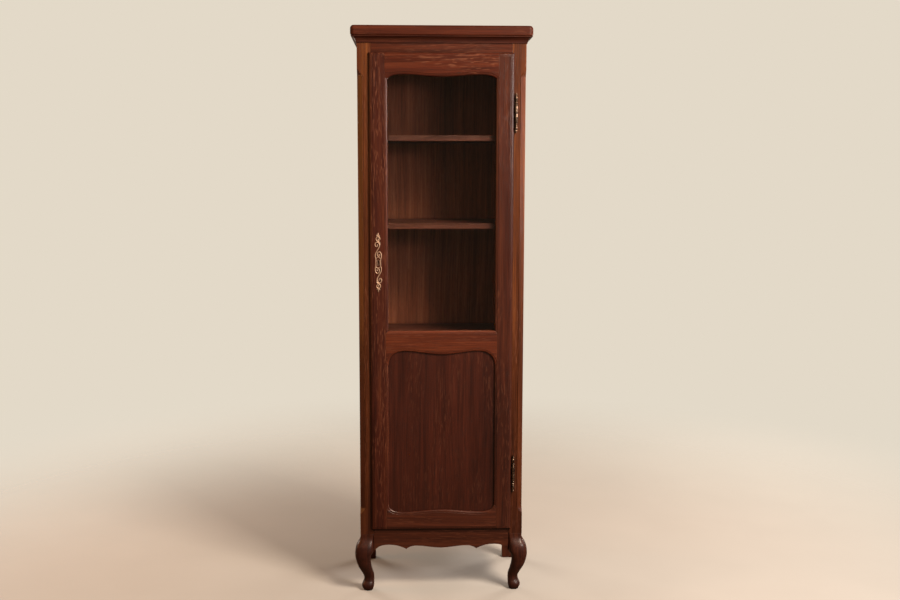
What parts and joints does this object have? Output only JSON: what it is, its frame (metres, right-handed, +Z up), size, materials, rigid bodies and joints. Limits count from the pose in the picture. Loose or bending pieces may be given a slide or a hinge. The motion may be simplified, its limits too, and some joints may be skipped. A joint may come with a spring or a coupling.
{
  "type": "display cabinet",
  "caption": "Tall narrow oak cabinet on short cabriole legs, its hinged door glazed above and panelled below, with a moulded cap, framed sides and back, shelves, brass hinges and a lock.",
  "frame": {"origin": "on the floor, under the middle of the cap's plan, which is also the middle of the bounding box's base", "axes": "+X to the viewer's right when facing the door, +Y to the back, +Z up"},
  "size_m": [0.593, 0.372, 1.905],
  "materials": {
    "oak_frame": "dark red-brown stained oak, polished",
    "oak_panel": "darker stained oak, satin",
    "oak_interior": "dark stained oak, dull",
    "brass": "aged brass",
    "steel": "dull steel",
    "glass": "clear pane"
  },
  "bodies": {
    "carcass": {"front_leg_left": "oak_frame", "front_leg_right": "oak_frame", "front_post_left": "oak_frame", "front_post_right": "oak_frame", "rear_post_left": "oak_frame", "rear_post_right": "oak_frame", "frieze_rail": "oak_frame", "front_apron": "oak_frame", "side_apron_left": "oak_frame", "side_apron_right": "oak_frame", "side_mid_rail_left": "oak_frame", "side_mid_rail_right": "oak_frame", "side_top_rail_left": "oak_frame", "side_top_rail_right": "oak_frame", "side_panel_lower_left": "oak_panel", "side_panel_lower_right": "oak_panel", "side_panel_upper_left": "oak_panel", "side_panel_upper_right": "oak_panel", "back_bottom_rail": "oak_frame", "back_mid_rail": "oak_frame", "back_top_rail": "oak_frame", "back_panel_lower": "oak_interior", "back_panel_upper": "oak_interior", "floor_board": "oak_interior", "shelf_top": "oak_interior", "shelf_second": "oak_interior", "shelf_divider": "oak_interior", "shelf_lower": "oak_interior", "shelf_cleat_top_left": "oak_interior", "shelf_cleat_top_right": "oak_interior", "shelf_cleat_second_left": "oak_interior", "shelf_cleat_second_right": "oak_interior", "shelf_cleat_lower_left": "oak_interior", "shelf_cleat_lower_right": "oak_interior", "top_board": "oak_frame", "cornice_cove_front": "oak_frame", "cornice_cove_left": "oak_frame", "cornice_cove_right": "oak_frame", "strike_plate": "brass", "upper_hinge_post_half": "brass", "upper_hinge_pin": "steel", "lower_hinge_post_half": "brass", "lower_hinge_pin": "steel"},
    "door": {"door_lock_stile": "oak_frame", "door_hinge_stile": "oak_frame", "door_bottom_rail": "oak_frame", "door_mid_rail": "oak_frame", "door_top_rail": "oak_frame", "door_panel": "oak_panel", "door_glass": "glass", "glazing_bead_left": "oak_frame", "glazing_bead_right": "oak_frame", "glazing_bead_bottom": "oak_frame", "glazing_bead_top": "oak_frame", "escutcheon": "brass", "lock_case": "steel", "upper_hinge_door_half": "brass", "lower_hinge_door_half": "brass"},
    "lock_bolt": {"lock_bolt": "steel"}
  },
  "joints": [
    {"name": "door_swing", "type": "hinge", "parent": "carcass", "child": "door", "pos_m": [0.2435, -0.172, 1], "axis": [0, 0, 1], "range_deg": [0, 175]},
    {"name": "bolt_throw", "type": "slide", "parent": "door", "child": "lock_bolt", "axis": [-1, 0, 0], "range_m": [0, 0.011]}
  ]
}
